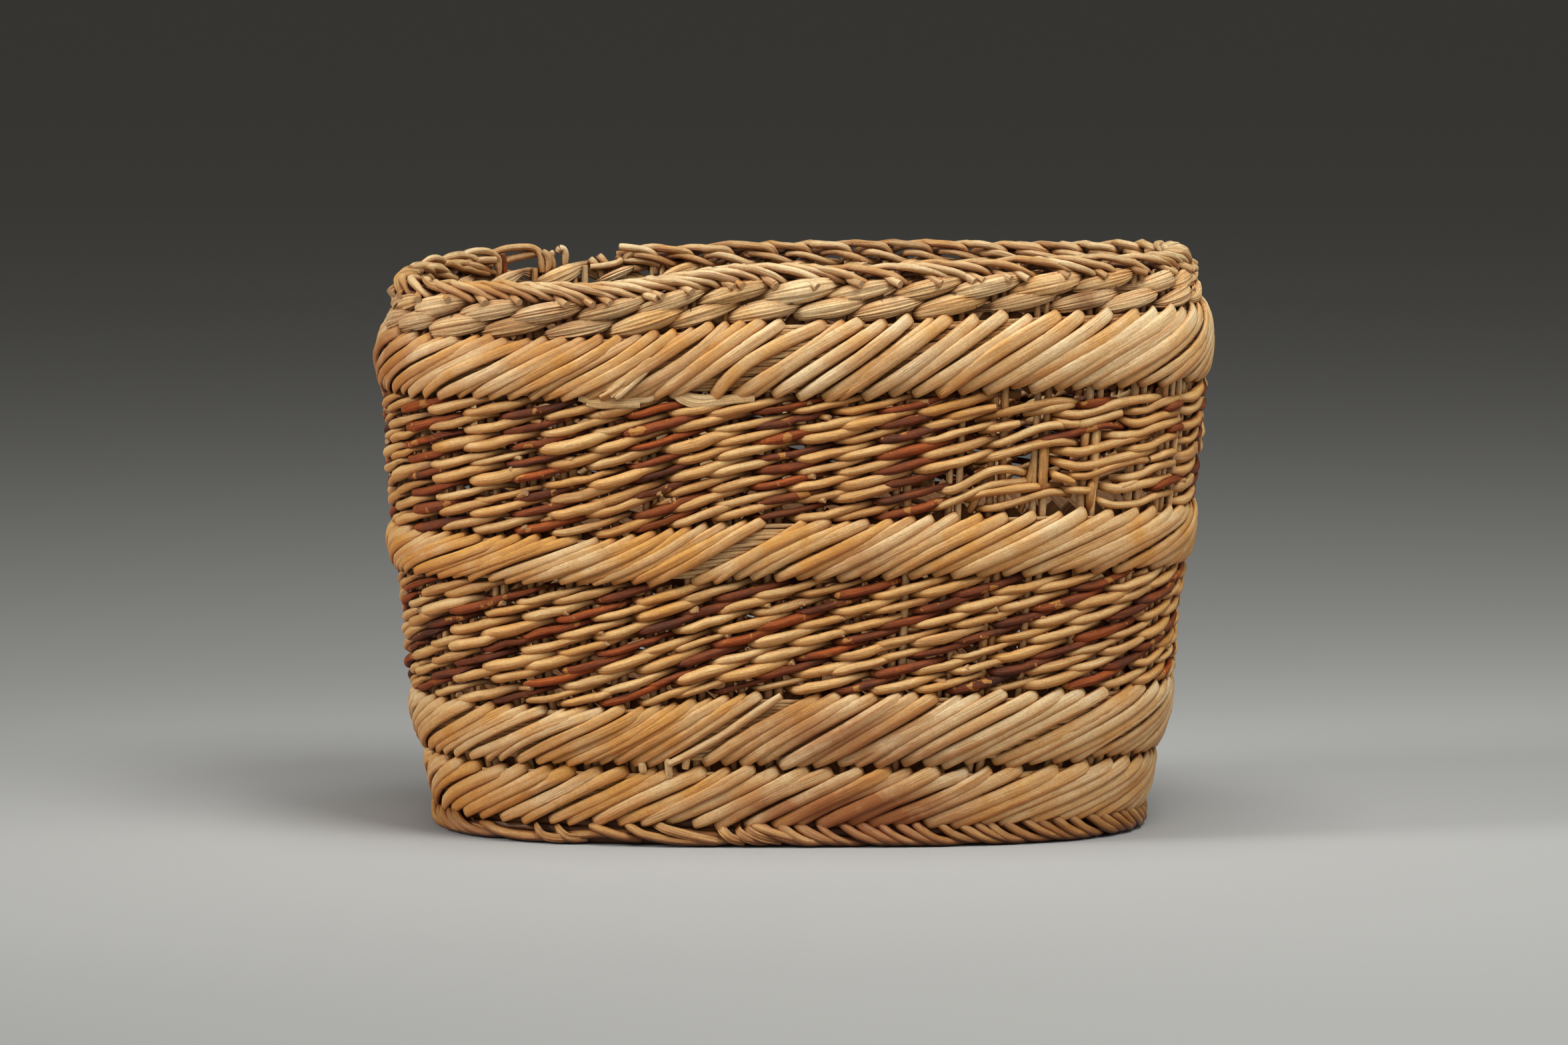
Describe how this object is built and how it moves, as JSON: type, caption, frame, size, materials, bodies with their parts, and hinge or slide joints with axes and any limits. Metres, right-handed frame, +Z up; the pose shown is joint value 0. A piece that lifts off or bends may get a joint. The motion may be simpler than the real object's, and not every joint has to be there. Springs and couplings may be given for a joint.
{
  "type": "bottle basket",
  "caption": "Open rounded oblong basket woven from willow rods, with raised slanting bands between plain woven zones, for carrying bottles.",
  "frame": {"origin": "on the ground under the middle of the basket", "axes": "+X along the basket's length, -Y out of the side that the picture shows, +Z up"},
  "size_m": [0.4006, 0.2431, 0.2705],
  "materials": {
    "peeled_willow": "dry peeled willow rods, satin",
    "band_willow": "golden willow rods, slightly glossy",
    "dark_willow": "darker willow sticks with bark, matte",
    "flat_leaf": "dry ridged leaf strips, matte"
  },
  "bodies": {
    "root": {"foot_border": "peeled_willow", "base_weave_under": "flat_leaf", "base_sticks": "dark_willow", "base_weave_over": "flat_leaf", "stakes_and_rim_border": "peeled_willow", "foot_band_lining": "flat_leaf", "foot_band_core": "flat_leaf", "foot_band_rods": "band_willow", "lower_band_lining": "flat_leaf", "lower_band_core": "flat_leaf", "lower_band_rods": "band_willow", "middle_band_lining": "flat_leaf", "middle_band_core": "flat_leaf", "middle_band_rods": "band_willow", "upper_band_lining": "flat_leaf", "upper_band_core": "flat_leaf", "upper_band_rods": "band_willow", "lower_wale_1": "peeled_willow", "lower_wale_2": "peeled_willow", "lower_wale_3": "peeled_willow", "lower_wale_4": "peeled_willow", "lower_wale_5": "peeled_willow", "lower_wale_6": "peeled_willow", "lower_wale_7": "peeled_willow", "upper_wale_1": "peeled_willow", "upper_wale_2": "peeled_willow", "upper_wale_3": "peeled_willow", "upper_wale_4": "peeled_willow", "upper_wale_5": "peeled_willow", "upper_wale_6": "peeled_willow", "upper_wale_7": "peeled_willow", "upper_wale_8": "peeled_willow", "leaf_row_lower": "flat_leaf", "leaf_row_upper": "flat_leaf"}
  },
  "joints": []
}
